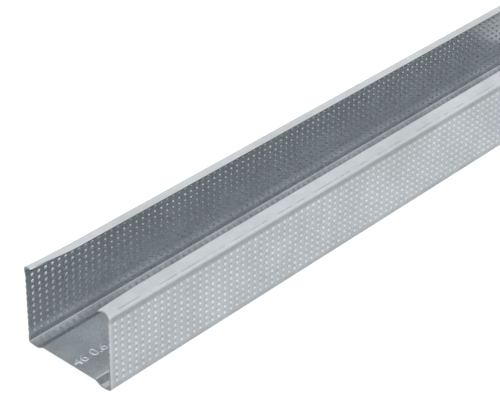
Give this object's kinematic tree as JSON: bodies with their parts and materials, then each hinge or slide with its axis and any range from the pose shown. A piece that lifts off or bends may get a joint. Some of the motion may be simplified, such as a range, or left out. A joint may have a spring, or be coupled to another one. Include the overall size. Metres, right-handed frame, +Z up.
{
  "type": "drywall metal stud",
  "caption": "Rolled C-profile wall stud of thin galvanised steel with inward lips, grooved web and round-ended service openings.",
  "frame": {"origin": "under the middle of the web at mid length, level with the feet of the two web grooves that the stud rests on", "axes": "+X along the stud, +Y across the web from one flange to the other, +Z up from the web to the open side"},
  "size_m": [2.5, 0.0466, 0.0364],
  "materials": {
    "galvanised_sheet": "galvanised, satin, with knurled dimples on the flanges"
  },
  "bodies": {
    "root": {"stud": "galvanised_sheet"}
  },
  "joints": []
}
